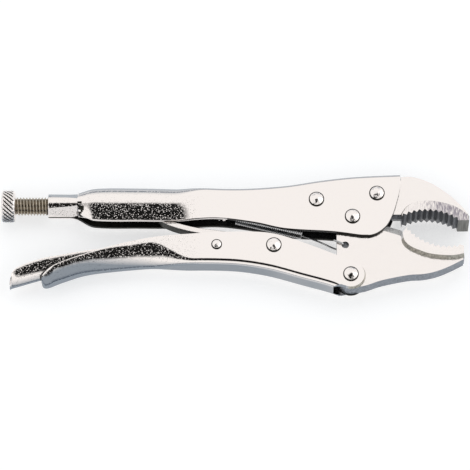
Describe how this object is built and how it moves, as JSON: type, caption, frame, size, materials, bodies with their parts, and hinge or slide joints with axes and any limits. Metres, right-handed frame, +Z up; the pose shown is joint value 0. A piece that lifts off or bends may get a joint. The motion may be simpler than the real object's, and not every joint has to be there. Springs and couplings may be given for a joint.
{
  "type": "locking pliers",
  "caption": "Curved-jaw locking pliers with wire cutter, toggle link, adjusting screw and release lever, lying on one side.",
  "frame": {"origin": "the flat on the lower head of the jaw pivot rivet, on the axis of the jaw pivot, in the plane that the tool lies on", "axes": "+X along the tool towards the jaw tips, +Y towards the handle with the screw, +Z up through the thickness of the tool"},
  "size_m": [0.2483, 0.0659, 0.017],
  "materials": {
    "plated_sheet": "bright nickel plating over pressed sheet, faint orange peel",
    "plated_jaw": "bright nickel plating over a forged and ground surface",
    "plated_link": "nickel plating over a stamped bar",
    "plated_knob": "nickel plating over a diamond knurl",
    "plated_rivet": "bright plated rivet head with a small flat",
    "bare_screw": "rolled thread in oiled steel",
    "spring_wire": "drawn spring wire"
  },
  "bodies": {
    "upper_body": {"upper_handle": "plated_sheet", "upper_jaw": "plated_jaw", "jaw_rivet_rear": "plated_rivet", "jaw_rivet_front": "plated_rivet", "jaw_pivot_rivet": "plated_rivet", "tension_spring": "spring_wire"},
    "lower_jaw_body": {"lower_jaw": "plated_jaw"},
    "lower_handle_body": {"lower_handle": "plated_sheet", "handle_pivot_rivet": "plated_rivet", "link_pivot_rivet": "plated_rivet", "lever_pivot_rivet": "plated_rivet"},
    "link_body": {"toggle_link": "plated_link"},
    "lever_body": {"release_lever": "plated_sheet"},
    "screw_body": {"adjusting_screw": "bare_screw", "screw_knob": "plated_knob"}
  },
  "joints": [
    {"name": "handle_pivot", "type": "hinge", "parent": "lower_jaw_body", "child": "lower_handle_body", "pos_m": [-0.00115, -0.0331, 0.0085], "axis": [0, 0, 1], "range_deg": [0, 60]},
    {"name": "jaw_pivot", "type": "hinge", "parent": "upper_body", "child": "lower_jaw_body", "pos_m": [0, 0, 0.0085], "axis": [0, 0, 1], "range_deg": [-22.2, 0], "deforming": ["tension_spring"]},
    {"name": "link_pivot", "type": "hinge", "parent": "lower_handle_body", "child": "link_body", "pos_m": [-0.0417, -0.01645, 0.0085], "axis": [0, 0, 1], "range_deg": [-60.6, 0]},
    {"name": "lever_pivot", "type": "hinge", "parent": "lower_handle_body", "child": "lever_body", "pos_m": [-0.0719, -0.01615, 0.0085], "axis": [0, 0, 1], "range_deg": [-10, 0]},
    {"name": "screw_turn", "type": "hinge", "parent": "upper_body", "child": "screw_body", "pos_m": [-0.17, 0.0085, 0.0085], "axis": [1, 0, 0], "continuous": true}
  ],
  "couplings": [
    {"joint": "jaw_pivot", "follows": "handle_pivot", "ratio": -0.37},
    {"joint": "link_pivot", "follows": "handle_pivot", "ratio": -1.01}
  ]
}
